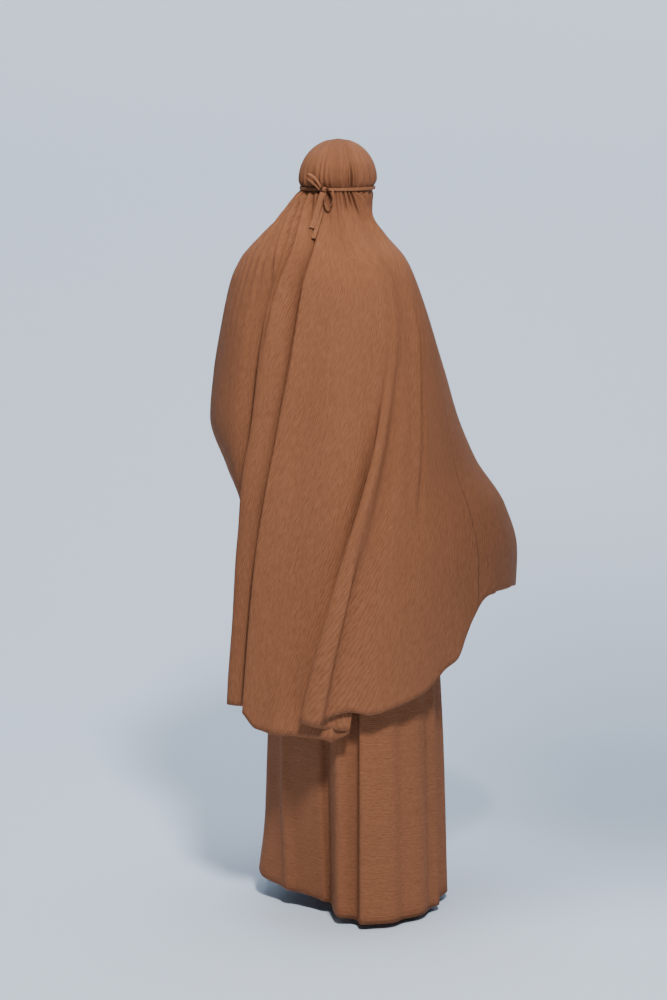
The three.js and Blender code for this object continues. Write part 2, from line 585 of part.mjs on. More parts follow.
const LEFT_LOOP = [
  [-6.4, 4.6, 2.2], [-11.5, 15, 6], [-21, 27, 9], [-31, 32, 10], [-35, 28, 10], [-30, 21, 9], [-20, 12, 7],
  [-8.4, 1.4, 2.6],
];
const RIGHT_LOOP = [
  [6.3, 1.6, 1.6], [15, 3, 7], [22, -4, 11], [24, -17, 15], [21, -29, 17], [13, -34, 18], [6.5, -28, 17],
  [5.4, -17, 14], [5.6, -6.2, 5],
];
const LOOP_WIDE = 7;
const LOOP_TILT = 0.45; // how much the left loop's near edge hangs down and to the left
const tilted = () => outwards.clone().addScaledVector(toRight, -LOOP_TILT).add(new THREE.Vector3(0, 0, -LOOP_TILT));
add("bow_loop_left", ribbon(LEFT_LOOP.map(bowPoint), tilted, LOOP_WIDE, 26), ribbonCloth);
add("bow_loop_right", ribbon(RIGHT_LOOP.map(bowPoint), () => outwards, LOOP_WIDE, 26), ribbonCloth);

// The tails hang over the gathered back: each row says how far right, how far down and how far off the cloth
function tail(rows, width) {
  const points = rows.map(([t, drop, lift]) => {
    const down = TIE_DEPTH + drop;
    const angle = KNOT_ANGLE + THREE.MathUtils.radToDeg(t / veilRadius(KNOT_ANGLE, down));
    return polar(angle, veilRadius(angle, down) + lift, 0, down);
  });
  return ribbon(points, () => toRight, width, 16);
}
const LEFT_TAIL = [[-1.5, 5.4, 6.2], [-4.6, 19, 9.5], [-7.4, 32, 9.5], [-11.2, 49, 9], [-14.2, 64, 8.5], [-18, 78, 8]];
const RIGHT_TAIL = [[-0.8, 6.7, 3.2], [-1.5, 21, 6.2], [-2.1, 42, 6], [-5, 62, 5.5], [-8.6, 82, 5], [-12.5, 99, 5]];
add("bow_tail_left", tail(LEFT_TAIL, RIBBON_WIDE), ribbonCloth);
add("bow_tail_right", tail(RIGHT_TAIL, RIBBON_WIDE * 0.75), ribbonCloth);

export default gown;
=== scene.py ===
"""The look of a worn two-piece prayer gown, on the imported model's frame.

Sizes in the tables are millimetres, as they are in the part's source, and points become metres when a mesh
is made. Depths are measured down from the crown. Angles run round the upright axis: 0 is the wearer's back
and 90 the wearer's right.
"""
import math

import bpy
import numpy as np
from mathutils import Matrix, Vector


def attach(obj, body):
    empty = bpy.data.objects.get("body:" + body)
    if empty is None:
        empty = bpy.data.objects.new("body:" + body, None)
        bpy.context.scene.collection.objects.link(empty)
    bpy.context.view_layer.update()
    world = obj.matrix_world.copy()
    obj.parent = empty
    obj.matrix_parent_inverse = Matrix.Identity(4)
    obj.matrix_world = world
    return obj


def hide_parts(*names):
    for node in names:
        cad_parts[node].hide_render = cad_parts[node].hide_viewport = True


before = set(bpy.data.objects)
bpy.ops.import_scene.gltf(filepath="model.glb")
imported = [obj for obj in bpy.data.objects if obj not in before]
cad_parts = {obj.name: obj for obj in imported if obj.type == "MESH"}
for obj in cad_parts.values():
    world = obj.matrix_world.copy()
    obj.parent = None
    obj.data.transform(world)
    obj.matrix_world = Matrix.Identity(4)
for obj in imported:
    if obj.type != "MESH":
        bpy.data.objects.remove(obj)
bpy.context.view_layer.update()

MM = 0.001

# Cloth, seams and tie
CLOTH = 1.5
SEAM_GAP = 0.45
TIE_DEPTH = 103.0
TIE_TALL = 6.7
TIE_PINCH = 5.0
PINCH_REACH = 11.0
TIE_SUNK = 3.0
TIE_CLEAR = 0.35
TIE_END = 136
RIBBON = 1.4
RIBBON_WIDE = 12.0
RIGHT_TAIL_WIDE = 9.0
TAIL_CURL = 0.5
KNOT_ANGLE = 10.0
KNOT_HALF_ANGLE = 3.3
KNOT_OUT = 2

# The wearer's general figure
HEAD_SIDE = 78.0
HEAD_LONG = 98.0
HEAD_TALL = 83.0
SKIRT_CENTRE = (-30.0, -25.0)
WAIST = 622.0
WAISTBAND = 36.0
FLOOR = 1680.0

# The face opening, an upright oval
FACE = {"depth": 138, "half_wide": 62, "half_tall": 84, "front": -260, "back": -48}

# The veil's unfolded form: depth, then its radius in twelve directions, from the back round by the right
DIRECTIONS = 12
VEIL_SECTIONS = [
    [103, 96, 91, 82, 78, 80, 90, 96, 90, 80, 78, 82, 91],
    [112, 97, 91, 81, 75, 75, 88, 97, 88, 78, 77, 82, 92],
    [135, 101, 95, 84, 73, 72, 86, 98, 88, 80, 86, 98, 101],
    [160, 112, 104, 92, 81, 72, 84, 102, 84, 83, 110, 121, 118],
    [200, 130, 120, 112, 107, 98, 93, 104, 96, 114, 150, 160, 144],
    [250, 147, 139, 144, 154, 137, 126, 122, 134, 172, 209, 200, 170],
    [300, 156, 151, 161, 179, 158, 146, 140, 156, 200, 238, 222, 185],
    [400, 163, 162, 180, 207, 198, 188, 172, 196, 234, 262, 245, 205],
    [500, 168, 171, 189, 222, 232, 236, 215, 236, 262, 284, 259, 211],
    [600, 173, 180, 199, 236, 260, 280, 262, 272, 280, 293, 268, 216],
    [700, 179, 189, 209, 248, 296, 332, 300, 300, 278, 256, 240, 222],
    [800, 185, 197, 221, 270, 358, 392, 324, 305, 252, 212, 205, 222],
    [900, 191, 205, 232, 284, 382, 408, 334, 300, 238, 204, 197, 229],
    [1000, 197, 213, 240, 286, 378, 408, 328, 295, 232, 204, 200, 236],
    [1150, 206, 224, 244, 272, 330, 380, 320, 290, 228, 206, 210, 246],
    [1300, 214, 232, 246, 262, 305, 355, 315, 285, 226, 210, 218, 255],
]

# Where the cloth line that reaches the hem at each angle lies higher up
GUIDE_DEPTHS = [108, 200, 300, 600, 900, 1300]
GUIDES = {
    -180: [-180, -180, -180, -180, -180, -180],
    -140: [-165, -163, -140, -140, -140, -140],
    -100: [-150, -148, -100, -100, -100, -100],
    -70: [-85, -80, -66, -66, -70, -70],
    -39: [-24, -20, -22, -28, -38, -39],
    -26: [4, 6, 0, -13, -23, -26],
    16: [36, 46, 64, 52, 34, 16],
    50: [58, 80, 78, 71, 60, 50],
    60: [74, 90, 84, 77, 69, 60],
    100: [150, 148, 104, 100, 100, 100],
    140: [165, 163, 140, 140, 140, 140],
    180: [180, 180, 180, 180, 180, 180],
}

# Folds: kind, angle at the hem, width in degrees, outwards and sideways in mm, then the depths at which each
# starts, is full, fades and is gone. The last two lie below the hem where a fold runs down to it.
VEIL_FOLDS = {
    "left drape edge": ["pleat", -39, 3.2, 12, 15, 200, 360, 1500, 1600],
    "left drape valley": ["ridge", -44, 3.2, -14, 0, 230, 420, 820, 1050],
    "left column": ["ridge", -33.5, 3, 7, 0, 260, 460, 1500, 1600],
    "back panel edge": ["pleat", -26, 3, 12, 15, 130, 320, 1500, 1600],
    "back panel valley": ["ridge", -29.5, 2.2, -12, 0, 180, 380, 1500, 1600],
    "left long gather": ["ridge", -33, 2.2, 5, 0, 120, 200, 320, 620],
    "nape fold": ["ridge", -20, 2.2, 4, -2, 108, 150, 220, 420],
    "neck drape edge": ["pleat", 50, 3.4, -6, 9, 104, 124, 190, 300],
    "back panel belly": ["ridge", -10, 8, 5, 0, 500, 1100, 1500, 1600],
    "main panel hollow": ["ridge", 7, 4.5, -9, 0, 420, 760, 1080, 1240],
    "inner step": ["pleat", 3, 1.8, -4, 8, 1020, 1250, 1500, 1600],
    "great pleat": ["pleat", 16, 9, 11, 86, 320, 1260, 1500, 1600],
    "pleat roll": ["ridge", 28.5, 3.2, 9, 0, 340, 800, 1500, 1600],
    "pleat valley": ["ridge", 34, 3.4, -13, 0, 360, 800, 1500, 1600],
    "right panel swell": ["ridge", 45, 6, 5, 0, 380, 620, 1000, 1260],
    "shoulder fold": ["ridge", 58, 2.8, 8, 8, 300, 440, 640, 820],
    "shoulder valley": ["ridge", 62.5, 2.6, -5, 0, 320, 460, 700, 900],
    "second shoulder fold": ["ridge", 66, 3.2, 3.5, 3, 480, 620, 720, 900],
    "right hem flute": ["ridge", 91, 2.6, 6, 2, 980, 1080, 1500, 1600],
    "hand crease": ["pleat", 109, 3, -8, 12, 880, 940, 1500, 1600],
    "hand drop": ["ridge", 134, 5, 12, 0, 760, 930, 1500, 1600],
    "front valley right": ["ridge", 148, 6, -18, 0, 420, 860, 1500, 1600],
    "front ridge right": ["ridge", 163, 6, 13, 3, 360, 820, 1500, 1600],
    "front valley middle": ["ridge", 178, 6, -15, 0, 300, 800, 1500, 1600],
    "front ridge left": ["ridge", -167, 6, 14, -3, 380, 820, 1500, 1600],
    "front valley left": ["ridge", -151, 6, -17, 0, 440, 860, 1500, 1600],
    "left hand drop": ["ridge", -134, 6, 15, 0, 640, 880, 1500, 1600],
    "left side valley": ["ridge", -116, 6, -16, 0, 560, 860, 1500, 1600],
    "left side ridge": ["ridge", -98, 6, 12, 0, 620, 900, 1500, 1600],
    "under-arm valley": ["ridge", -80, 6, -13, 0, 640, 900, 1500, 1600],
    "under-arm ridge": ["ridge", -60, 4.5, 5, 0, 760, 950, 1500, 1600],
}

# The hem's depth by angle
VEIL_HEM = {
    -180: 952, -150: 958, -120: 1000, -90: 1075, -60: 1150, -43: 1194, -36: 1204, -28: 1203, -23: 1212,
    -19: 1242, -8: 1251, 0: 1252, 3: 1258, 8: 1238, 16: 1228, 24: 1206, 29: 1212, 36: 1190, 42: 1196,
    56: 1182, 74: 1155, 84: 1120, 90: 1102, 94: 1060, 98: 1014, 104: 972, 109: 970, 117: 972, 121: 973,
    126: 979, 130: 984, 134: 975, 139: 954, 150: 946, 180: 952,
}
HEM_FROM = 300.0
VEIL_LOWEST = 1300.0
SPLIT_DEPTH = 138.0
SEAM = 100.0

# Gathers at the tie, by angle at the hem: their number round the neck, height, and reach below and above
GATHERS = {
    -100: [-16, 0, 90, 12],
    -86: [-14, 2, 90, 16],
    -70: [-11, 3.4, 130, 20],
    -34: [-2, 4.4, 130, 22],
    -20: [0.8, 3.6, 60, 24],
    0: [3.2, 2.8, 34, 26],
    20: [5.2, 3.4, 36, 38],
    50: [8.4, 4, 42, 42],
    66: [10.2, 3, 55, 36],
    86: [12.6, 2.6, 60, 26],
    100: [14, 0, 60, 12],
}
GATHER_EASE = 9.0

SKIRT_SECTIONS = [
    [622, 100, 104, 114, 122, 114, 104, 100, 104, 114, 122, 114, 104],
    [800, 146, 155, 166, 172, 162, 150, 145, 152, 164, 171, 163, 154],
    [1000, 154, 170, 178, 179, 172, 166, 164, 168, 174, 181, 172, 160],
    [1270, 160, 192, 196, 189, 184, 184, 180, 182, 186, 197, 184, 166],
    [1670, 138, 210, 212, 201, 198, 205, 205, 200, 208, 230, 196, 146],
]
SKIRT_FOLDS = {
    "left ridge": ["ridge", -38, 3.5, 9, 0, 900, 1500, 2500, 2600],
    "left kick": ["ridge", -70, 10, 12, 0, 1480, 1670, 2500, 2600],
    "dark crease": ["ridge", 3, 3, -13, 0, 760, 1400, 2500, 2600],
    "narrow ridge": ["ridge", 16, 3.5, 11, -4, 760, 1300, 2500, 2600],
    "narrow valley": ["ridge", 23, 3, -7, 0, 760, 1300, 2500, 2600],
    "wide pleat edge": ["pleat", 29, 3.6, 6, 7, 700, 1000, 2500, 2600],
    "wide pleat end": ["pleat", 53, 6, -4.5, 2, 760, 1300, 2500, 2600],
    "right ridge": ["ridge", 72, 6, 4, 0, 800, 1400, 2500, 2600],
    "right valley": ["ridge", 81, 4, -5, 0, 800, 1400, 2500, 2600],
    "right line": ["ridge", 89, 3.5, 8, 3, 800, 1400, 2500, 2600],
    "right line valley": ["ridge", 98, 4, -7, 0, 800, 1400, 2500, 2600],
}
# The folds of the skirt's front and left, which the picture doesn't show
SKIRT_HIDDEN = {"first": 114, "last": 296, "step": 13, "wide": 5, "out": 10, "sway": 4}
SKIRT_HIDDEN_DEPTHS = [760, 1400, 2500, 2600]
SKIRT_HEM = {
    -180: 1656, -120: 1640, -88: 1606, -70: 1614, -56: 1632, -38: 1640, -15: 1646, 2: 1653, 16: 1661,
    30: 1666, 60: 1667, 100: 1664, 140: 1660, 180: 1656,
}
SKIRT_TOP = 658.0
SKIRT_LOWEST = 1670.0
WAIST_GATHERS = 40
WAIST_GATHER_OUT = 3.0
WAIST_GATHER_LONG = 160
BAND_OUT = 0.4
BAND_CHANNELS = 3
BAND_THICK = 2.4

# Creases and edges that only the look has, as in the tables above
FINE_FOLDS = {
    "roll edge": ["pleat", 30.6, 1.7, -6, 7, 820, 960, 1500, 1600],
    "column dip": ["ridge", -31, 3, -6, 0, 500, 800, 1500, 1600],
    "main panel swell": ["ridge", -11, 2.5, 4, 0, 1040, 1190, 1500, 1600],
    "main panel dip": ["ridge", -6.5, 2.2, -5, 0, 1040, 1190, 1500, 1600],
    "hand valley": ["ridge", 113, 3, -7, 0, 890, 950, 1500, 1600],
    "long crease": ["pleat", -34.6, 1.2, 7.5, 5, 108, 140, 300, 480],
    "second crease": ["pleat", -38.6, 1.3, 7.5, 5, 106, 122, 170, 280],
    "third crease": ["pleat", -43.6, 1.5, 7.5, 5, 106, 120, 170, 280],
    "fourth crease": ["pleat", -49.5, 1.8, 6, 5, 106, 118, 160, 250],
    "fifth crease": ["pleat", -57, 2.4, 5, 5, 106, 118, 150, 220],
    "sixth crease": ["pleat", -22.6, 1, 3, 3, 120, 240, 420, 620],
    "nape dart": ["ridge", 13, 1.4, -3, 0, 104, 112, 130, 170],
    "second nape dart": ["ridge", 33, 1.6, -3, 0, 104, 112, 135, 180],
    "third nape dart": ["ridge", -3, 1.3, -3, 0, 104, 112, 140, 200],
    "fourth nape dart": ["ridge", 23, 1.2, -2.5, 0, 104, 110, 124, 150],
    "hood crease": ["ridge", 19, 1.5, -2.8, 0, 50, 82, 97, 103],
    "hood fold": ["ridge", 26, 2, 2, 0, 44, 82, 97, 103],
    "second hood crease": ["ridge", 33.5, 1.5, -2.4, 0, 42, 80, 97, 103],
    "second hood fold": ["ridge", 39.5, 1.8, 2, 0, 42, 80, 97, 103],
    "third hood crease": ["ridge", 45, 1.4, -2.8, 0, 42, 78, 97, 103],
    "fourth hood crease": ["ridge", 54.5, 1.5, -2.4, 0, 44, 80, 97, 103],
    "fifth hood crease": ["ridge", 64, 1.6, -2.2, 0, 50, 82, 97, 103],
    "sixth hood crease": ["ridge", -2, 1.4, -2.2, 0, 66, 86, 97, 103],
    "left hood crease": ["ridge", -31.5, 1.7, -2.4, 0, 54, 80, 97, 103],
}

# Small folds that only the look has: how many, over which angles, and their greatest height
SMALL_VEIL = {
    "count": 46, "seed": 5, "angles": (-175, 180), "out": 1.5, "depths": (260, 1050), "wide": (1.2, 3.0),
}
SMALL_SKIRT = {
    "count": 34, "seed": 9, "angles": (-180, 180), "out": 1.6, "depths": (700, 1300), "wide": (1.4, 3.2),
}
SMALL_LONG = (180, 420)
SMALL_LEAST = 0.35


def curve(xs, ys, x):
    """A smooth line through a table's points that never overshoots them. ys may hold a row for each x."""
    xs = np.asarray(xs, float)
    x = np.asarray(x, float)
    ys = np.asarray(ys, float)
    if ys.ndim == 1:
        ys = np.broadcast_to(ys.reshape(-1, *[1] * x.ndim), (len(xs), *x.shape))
    step = np.diff(xs).reshape(-1, *[1] * x.ndim)
    rise = np.diff(ys, axis=0) / step
    slope = np.empty_like(ys)
    slope[0] = rise[0]
    slope[-1] = rise[-1]
    product = rise[:-1] * rise[1:]
    total = np.where(product > 0, rise[:-1] + rise[1:], 1)
    slope[1:-1] = np.where(product > 0, 2 * product / total, 0)
    at = np.clip(x, xs[0], xs[-1])
    k = np.clip(np.searchsorted(xs, at, side="left") - 1, 0, len(xs) - 2)
    width = np.diff(xs)[k]
    t = (at - xs[k]) / width

    def pick(values, index):
        return np.take_along_axis(values, index[None], axis=0)[0]

    return (
        (1 + 2 * t) * (1 - t) ** 2 * pick(ys, k)
        + t * (1 - t) ** 2 * width * pick(slope, k)
        + t * t * (3 - 2 * t) * pick(ys, k + 1)
        + t * t * (t - 1) * width * pick(slope, k + 1)
    )


def ease(low, high, x):
    t = np.clip((x - low) / (high - low), 0, 1)
    return t * t * (3 - 2 * t)


def around(angle):
    return np.mod(np.asarray(angle, float) + 180, 360) - 180


def between(a, b, c, d, t):
    """A point from b to c, a share t of the way along a smooth curve through four points."""
    second = 2 * a - 5 * b + 4 * c - d
    third = 3 * b - a - 3 * c + d
    return 0.5 * (2 * b + (c - a) * t + second * t * t + third * t**3)


def section_radius(sections, angle, down):
    """The radius at any angle and depth, from a closed spline round each section."""
    turn = np.mod(angle, 360) / (360 / DIRECTIONS)
    k = np.floor(turn).astype(int)
    t = turn - k
    rings = []
    for section in sections:
        ring = np.asarray(section[1:], float)
        a, b, c, d = (ring[(k + i) % DIRECTIONS] for i in (-1, 0, 1, 2))
        rings.append(between(a, b, c, d, t))
    return curve([section[0] for section in sections], np.array(rings), down)


def veil_radius(angle, down):
    """The hood's crown is an ellipsoid, which runs into the sections at the tie."""
    angle, down = np.broadcast_arrays(np.asarray(angle, float), np.asarray(down, float))
    below = section_radius(VEIL_SECTIONS, angle, down)
    turn = np.radians(angle)
    widest = 1 / np.hypot(np.cos(turn) / HEAD_LONG, np.sin(turn) / HEAD_SIDE)
    lift = 1 - np.clip(down / HEAD_TALL, 0, 1)
    crown = widest * np.sqrt(np.clip(1 - lift * lift, 0, 1))
    share = ease(HEAD_TALL, TIE_DEPTH, down)
    return np.where(down < TIE_DEPTH, crown * (1 - share) + below * share, below)


def fold_at(folds, at, down):
    """What a table of folds adds to the cloth, outwards and sideways."""
    out = np.zeros(np.shape(at))
    side = np.zeros(np.shape(at))
    for kind, middle, wide, height, over, starts, full, fades, gone in folds.values():
        x = around(at - middle) / wide
        size = ease(starts, full, down) * (1 - ease(fades, gone, down))
        if kind == "pleat":
            lap = x * np.exp((1 - x * x) / 2) * size
            out += height * lap
            side -= over * lap
        else:
            hump = np.exp(-x * x / 2) * size
            out += height * hump
            side += over * hump
    return out, side


def small_folds(plan):
    """Long shallow folds at places that a seed fixes."""
    dice = np.random.default_rng(plan["seed"])
    made = {}
    for n in range(plan["count"]):
        middle = dice.uniform(*plan["angles"])
        starts = dice.uniform(*plan["depths"])
        length = dice.uniform(*SMALL_LONG)
        height = plan["out"] * dice.uniform(SMALL_LEAST, 1) * (1 if n % 2 else -1)
        wide = dice.uniform(*plan["wide"])
        full = starts + length / 2
        made[f"small {n}"] = ["ridge", middle, wide, height, 0, starts, full, full, starts + length]
    return made


def hidden_skirt_folds():
    """Ridges and valleys in turn. Two sines of unlike pitch make their places and heights uneven."""
    made = {}
    at = SKIRT_HIDDEN["first"]
    n = 0
    while at <= SKIRT_HIDDEN["last"]:
        middle = float(around(at + SKIRT_HIDDEN["sway"] * math.sin(2.4 * n)))
        height = SKIRT_HIDDEN["out"] * (-1 if n % 2 else 1) * (1 + 0.3 * math.sin(1.7 * n))
        made[f"hidden {n}"] = ["ridge", middle, SKIRT_HIDDEN["wide"], height, 0, *SKIRT_HIDDEN_DEPTHS]
        at += SKIRT_HIDDEN["step"]
        n += 1
    return made


ALL_VEIL_FOLDS = {**VEIL_FOLDS, **FINE_FOLDS, **small_folds(SMALL_VEIL)}
ALL_SKIRT_FOLDS = {**SKIRT_FOLDS, **hidden_skirt_folds(), **small_folds(SMALL_SKIRT)}


def gather_at(at, down):
    """Small gathers that the tie makes, strongest just above and below it."""
    columns = np.array(list(GATHERS.values()), float).T
    count, height, drop, rise = (curve(list(GATHERS), column, at) for column in columns)
    gap = down - TIE_DEPTH
    fade = np.exp(np.where(gap > 0, -gap / drop, gap / rise))
    grow = 1 - np.exp(-((gap / GATHER_EASE) ** 2))
    return height * fade * grow * np.cos(2 * math.pi * count)


def tie_pinch(down):
    """How far the tie draws the cloth in."""
    return TIE_PINCH * np.exp(-(((down - TIE_DEPTH) / PINCH_REACH) ** 2))


def drift(at, down):
    """Where the cloth line that reaches the hem at an angle lies at another depth."""
    angles = np.array([curve(GUIDE_DEPTHS, guide, down) for guide in GUIDES.values()])
    return curve(list(GUIDES), angles, around(at))


def hem_depth(hem, at):
    return curve(list(hem), list(hem.values()), around(at))


def polar(angle, radius, side, down, centre=(0.0, 0.0)):
    """Points from an angle, a radius, a move to that radius's side and a depth."""
    turn = np.radians(angle)
    x = centre[0] - np.sin(turn) * radius - np.cos(turn) * side
    y = centre[1] + np.cos(turn) * radius - np.sin(turn) * side
    return np.stack(np.broadcast_arrays(x, y, -np.asarray(down, float)), axis=-1)


def veil_point(at, row):
    """A point of the veil's outer face. Rows below HEM_FROM are drawn up or down to meet the hem."""
    reach = (hem_depth(VEIL_HEM, at) - HEM_FROM) / (VEIL_LOWEST - HEM_FROM)
    down = np.where(row <= HEM_FROM, row, HEM_FROM + (row - HEM_FROM) * reach)
    angle = drift(at, down)
    out, side = fold_at(ALL_VEIL_FOLDS, around(at), down)
    radius = veil_radius(angle, down) + out + gather_at(around(at), down) - tie_pinch(down)
    return polar(angle, np.maximum(radius, 0), np.where(down < 1, 0, side), down)


def skirt_point(at, row):
    long = hem_depth(SKIRT_HEM, at) - SKIRT_TOP
    down = SKIRT_TOP + (row - SKIRT_TOP) * long / (SKIRT_LOWEST - SKIRT_TOP)
    out, side = fold_at(ALL_SKIRT_FOLDS, around(at), down)
    fade = 1 - ease(SKIRT_TOP, SKIRT_TOP + WAIST_GATHER_LONG, down)
    gather = WAIST_GATHER_OUT * np.cos(np.radians(WAIST_GATHERS * at)) * fade
    radius = section_radius(SKIRT_SECTIONS, at, down) + out + gather
    return polar(at, radius, side, down, SKIRT_CENTRE)


def steps_through(stops):
    """Values through stops of (value, step to the next one)."""
    values = []
    for (start, step), (end, _) in zip(stops, stops[1:]):
        count = max(round((end - start) / step), 1)
        values += [start + (end - start) * n / count for n in range(count)]
    return np.array([*values, stops[-1][0]], float)


def unit(v):
    return v / np.maximum(np.linalg.norm(v, axis=-1, keepdims=True), 1e-9)


def new_object(name, points, faces, layers, material, smooth=True):
    """A mesh object from points in millimetres. layers maps a UV layer's name to one pair for each point."""
    mesh = bpy.data.meshes.new(name)
    mesh.from_pydata((np.asarray(points) * MM).tolist(), [], faces)
    corners = np.empty(len(mesh.loops), dtype=np.int32)
    mesh.loops.foreach_get("vertex_index", corners)
    for layer, pairs in layers.items():
        mesh.uv_layers.new(name=layer).data.foreach_set("uv", np.asarray(pairs, np.float32)[corners].ravel())
    mesh.polygons.foreach_set("use_smooth", [smooth] * len(mesh.polygons))
    mesh.update()
    obj = bpy.data.objects.new(name, mesh)
    bpy.context.scene.collection.objects.link(obj)
    mesh.materials.append(material)
    return obj


def whole(row, column):
    """Says that every cell of a grid is cloth."""
    return True


def wall(name, point_at, ats, rows, closed, is_cell, material, thickness=CLOTH):
    """A closed wall on a grid of cloth points, with the cloth's own lengths as its first UV layer."""
    near = 0.25
    least_lean = 0.3
    angles, depths = np.meshgrid(ats, rows)
    outer = point_at(angles, depths)
    along = unit(point_at(angles, depths + near) - point_at(angles, np.maximum(depths - near, 0.01)))
    across = unit(point_at(angles + near, depths) - point_at(angles - near, depths))
    normal = np.cross(along, across)
    count = len(ats)
    cells = count if closed else count - 1
    cloth = np.zeros((len(rows) + 1, cells + 2), bool)
    for i in range(len(rows) - 1):
        for j in range(cells):
            cloth[i + 1, j + 1] = is_cell(i, j)
    if closed:
        cloth[:, 0] = cloth[:, -2]
        cloth[:, -1] = cloth[:, 1]
    lowest = cloth[len(rows) - 1]
    edges = np.array([int(lowest[j + 1]) - int(lowest[j]) for j in range(count)]) * SEAM_GAP / 2
    lean = np.maximum(np.linalg.norm(normal, axis=-1, keepdims=True), least_lean)
    outer = outer + across * edges[None, :, None] / lean * (depths > 1)[..., None]
    normal = np.where((depths == 0)[..., None], np.array([0.0, 0.0, 1.0]), unit(normal))
    inner = outer - normal * thickness
    points = np.stack([outer, inner], axis=2).reshape(-1, 3)

    over = np.linalg.norm(np.diff(outer, axis=1), axis=-1).mean(axis=0)
    u = np.concatenate([[0], np.cumsum(over)]) * MM
    run = np.linalg.norm(np.diff(outer, axis=0), axis=-1)
    v = np.concatenate([np.zeros((1, count)), np.cumsum(run, axis=0)]) * MM
    u_grid = np.broadcast_to(u, v.shape)
    from_hem = v[-1:] - v
    cloth_uv = np.repeat(np.stack([u_grid, -v], axis=-1).reshape(-1, 2), 2, axis=0)
    edge_uv = np.repeat(np.stack([u_grid, from_hem], axis=-1).reshape(-1, 2), 2, axis=0)

    def vertex(i, j):
        return 2 * (i * count + (0 if rows[i] == 0 else j % count))

    faces = []

    def quad(*corners):
        kept = [c for n, c in enumerate(corners) if c != corners[n - 1]]
        if len(kept) > 2:
            faces.append(kept)

    for i in range(len(rows) - 1):
        for j in range(cells):
            if not cloth[i + 1, j + 1]:
                continue
            a, b, c, d = vertex(i, j), vertex(i + 1, j), vertex(i + 1, j + 1), vertex(i, j + 1)
            quad(a, b, c, d)
            quad(a + 1, d + 1, c + 1, b + 1)
            if not cloth[i, j + 1] and rows[i] != 0:
                quad(a, d, d + 1, a + 1)
            if not cloth[i + 2, j + 1]:
                quad(b, b + 1, c + 1, c)
            if not cloth[i + 1, j]:
                quad(a, a + 1, b + 1, b)
            if not cloth[i + 1, j + 2]:
                quad(d, c, c + 1, d + 1)
    used = sorted({c for face in faces for c in face})
    renumber = {old: new for new, old in enumerate(used)}
    faces = [[renumber[c] for c in face] for face in faces]
    layers = {"cloth": cloth_uv[used], "edge": edge_uv[used]}
    return new_object(name, points[used], faces, layers, material)


def cut_face_opening(obj):
    """Cuts the oval face opening with a long prism, from inside the hood out through the front."""
    sides = 96
    turns = np.linspace(0, 2 * math.pi, sides, endpoint=False)
    across = FACE["half_wide"] * np.cos(turns)
    high = -FACE["depth"] + FACE["half_tall"] * np.sin(turns)
    ring = np.stack([across, high], axis=-1)
    ends = [np.insert(ring, 1, y, axis=1) for y in (FACE["front"], FACE["back"])]
    faces = [list(range(sides)), list(range(2 * sides - 1, sides - 1, -1))]
    faces += [[n, n + sides, (n + 1) % sides + sides, (n + 1) % sides] for n in range(sides)]
    cutter = new_object("cutter", np.concatenate(ends), faces, {}, obj.data.materials[0], smooth=False)
    change = obj.modifiers.new("face opening", "BOOLEAN")
    change.operation = "DIFFERENCE"
    change.solver = "EXACT"
    change.object = cutter
    result = bpy.data.meshes.new_from_object(obj.evaluated_get(bpy.context.evaluated_depsgraph_get()))
    obj.modifiers.clear()
    obj.data = result
    bpy.data.objects.remove(cutter, do_unlink=True)


def spline(points, count):
    """Points at even steps along a smooth curve, and its directions there."""
    steps = 24
    p = np.asarray(points, float)
    p = np.concatenate([[2 * p[0] - p[1]], p, [2 * p[-1] - p[-2]]])
    dense = []
    for a, b, c, d in zip(p, p[1:], p[2:], p[3:]):
        for t in np.linspace(0, 1, steps, endpoint=False):
            dense.append(between(a, b, c, d, t))
    dense = np.array([*dense, p[-2]])
    length = np.concatenate([[0], np.cumsum(np.linalg.norm(np.diff(dense, axis=0), axis=1))])
    even = np.linspace(0, length[-1], count)
    line = np.stack([np.interp(even, length, dense[:, k]) for k in range(3)], axis=-1)
    return line, unit(np.gradient(line, axis=0)), even


def ribbon(name, path, across, width, material, count=90, curl=0.0):
    """A flat folded ribbon with soft edges along a smooth path. across is the direction of its width."""
    line, forward, even = spline(path, count)
    wide = np.broadcast_to(np.asarray(across, float), line.shape)
    wide = unit(wide - forward * (wide * forward).sum(axis=1, keepdims=True))
    thick = np.cross(forward, wide)
    ring = 20
    points = []
    pairs = []
    for centre, w, t, s in zip(line, wide, thick, even):
        for n in range(ring):
            turn = 2 * math.pi * n / ring
            x = np.sign(math.cos(turn)) * abs(math.cos(turn)) ** 0.45
            y = np.sign(math.sin(turn)) * abs(math.sin(turn)) ** 0.7
            bow = curl * (x * x - 0.4)
            dip = 1 - 0.25 * math.exp(-x * x * 14)
            points.append(centre + w * x * width / 2 + t * (y * RIBBON / 2 * dip + bow))
            pairs.append([x * width / 2 * MM, s * MM])
    faces = [list(range(ring))[::-1], list(range((count - 1) * ring, count * ring))]
    for k in range(count - 1):
        for n in range(ring):
            a, b = k * ring + n, k * ring + (n + 1) % ring
            faces.append([a, b, b + ring, a + ring])
    return new_object(name, points, faces, {"cloth": pairs, "edge": pairs}, material)


# Materials


def rgb(red, green, blue):
    """A linear colour from the eye's usual 0 to 255 values."""

    def linear(value):
        value /= 255
        return value / 12.92 if value <= 0.04045 else ((value + 0.055) / 1.055) ** 2.4

    return (linear(red), linear(green), linear(blue), 1)


